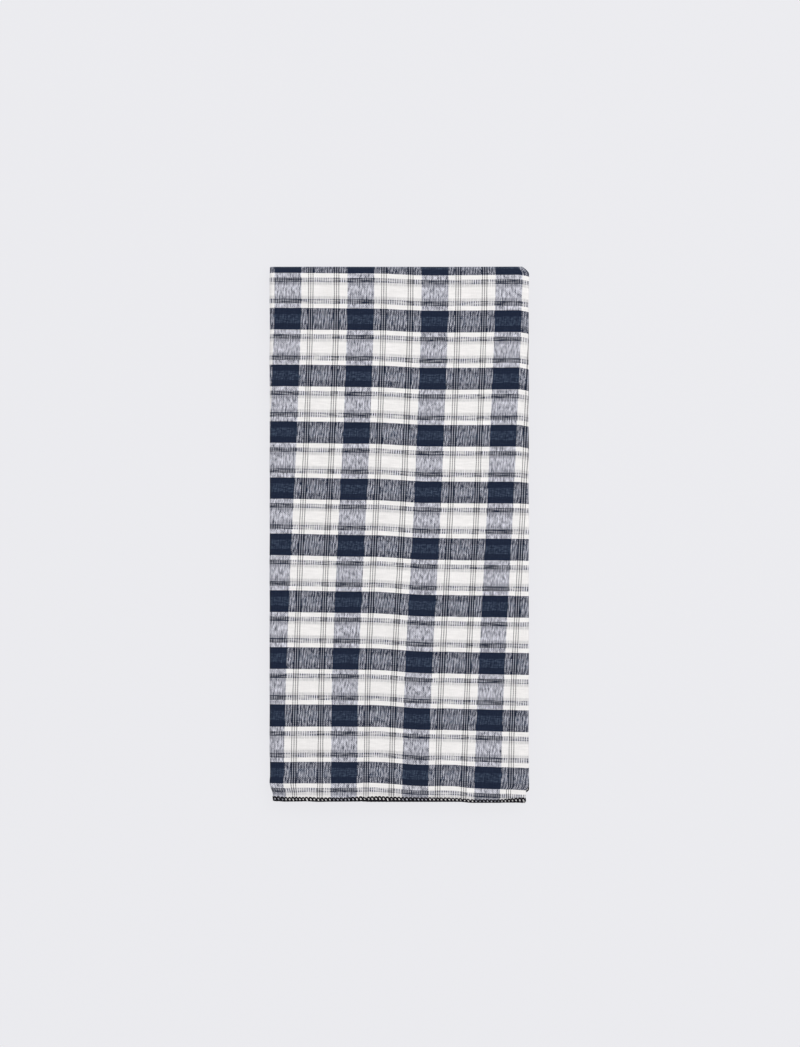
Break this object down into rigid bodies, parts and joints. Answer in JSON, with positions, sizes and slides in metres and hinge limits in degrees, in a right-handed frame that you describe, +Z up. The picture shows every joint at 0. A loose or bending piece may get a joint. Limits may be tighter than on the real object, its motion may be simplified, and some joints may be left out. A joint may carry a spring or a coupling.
{
  "type": "folded scarf",
  "caption": "Square plaid cotton gauze scarf with a dark overlocked edge, folded lengthwise and then in half into a flat oblong.",
  "frame": {"origin": "middle of the folded scarf's footprint, on the surface that it lies on", "axes": "+X across the folded scarf, +Y along it towards the crosswise fold, +Z up"},
  "size_m": [0.14, 0.29, 0.011],
  "materials": {
    "plaid_gauze": "soft open plain weave of navy and white cotton, matte",
    "edging_thread": "near-black overlock thread with a slight sheen"
  },
  "bodies": {
    "root": {"cloth": "plaid_gauze", "visible_end_edging": "edging_thread", "under_end_edging": "edging_thread", "outer_side_edging": "edging_thread", "inner_side_edging": "edging_thread"}
  },
  "joints": []
}
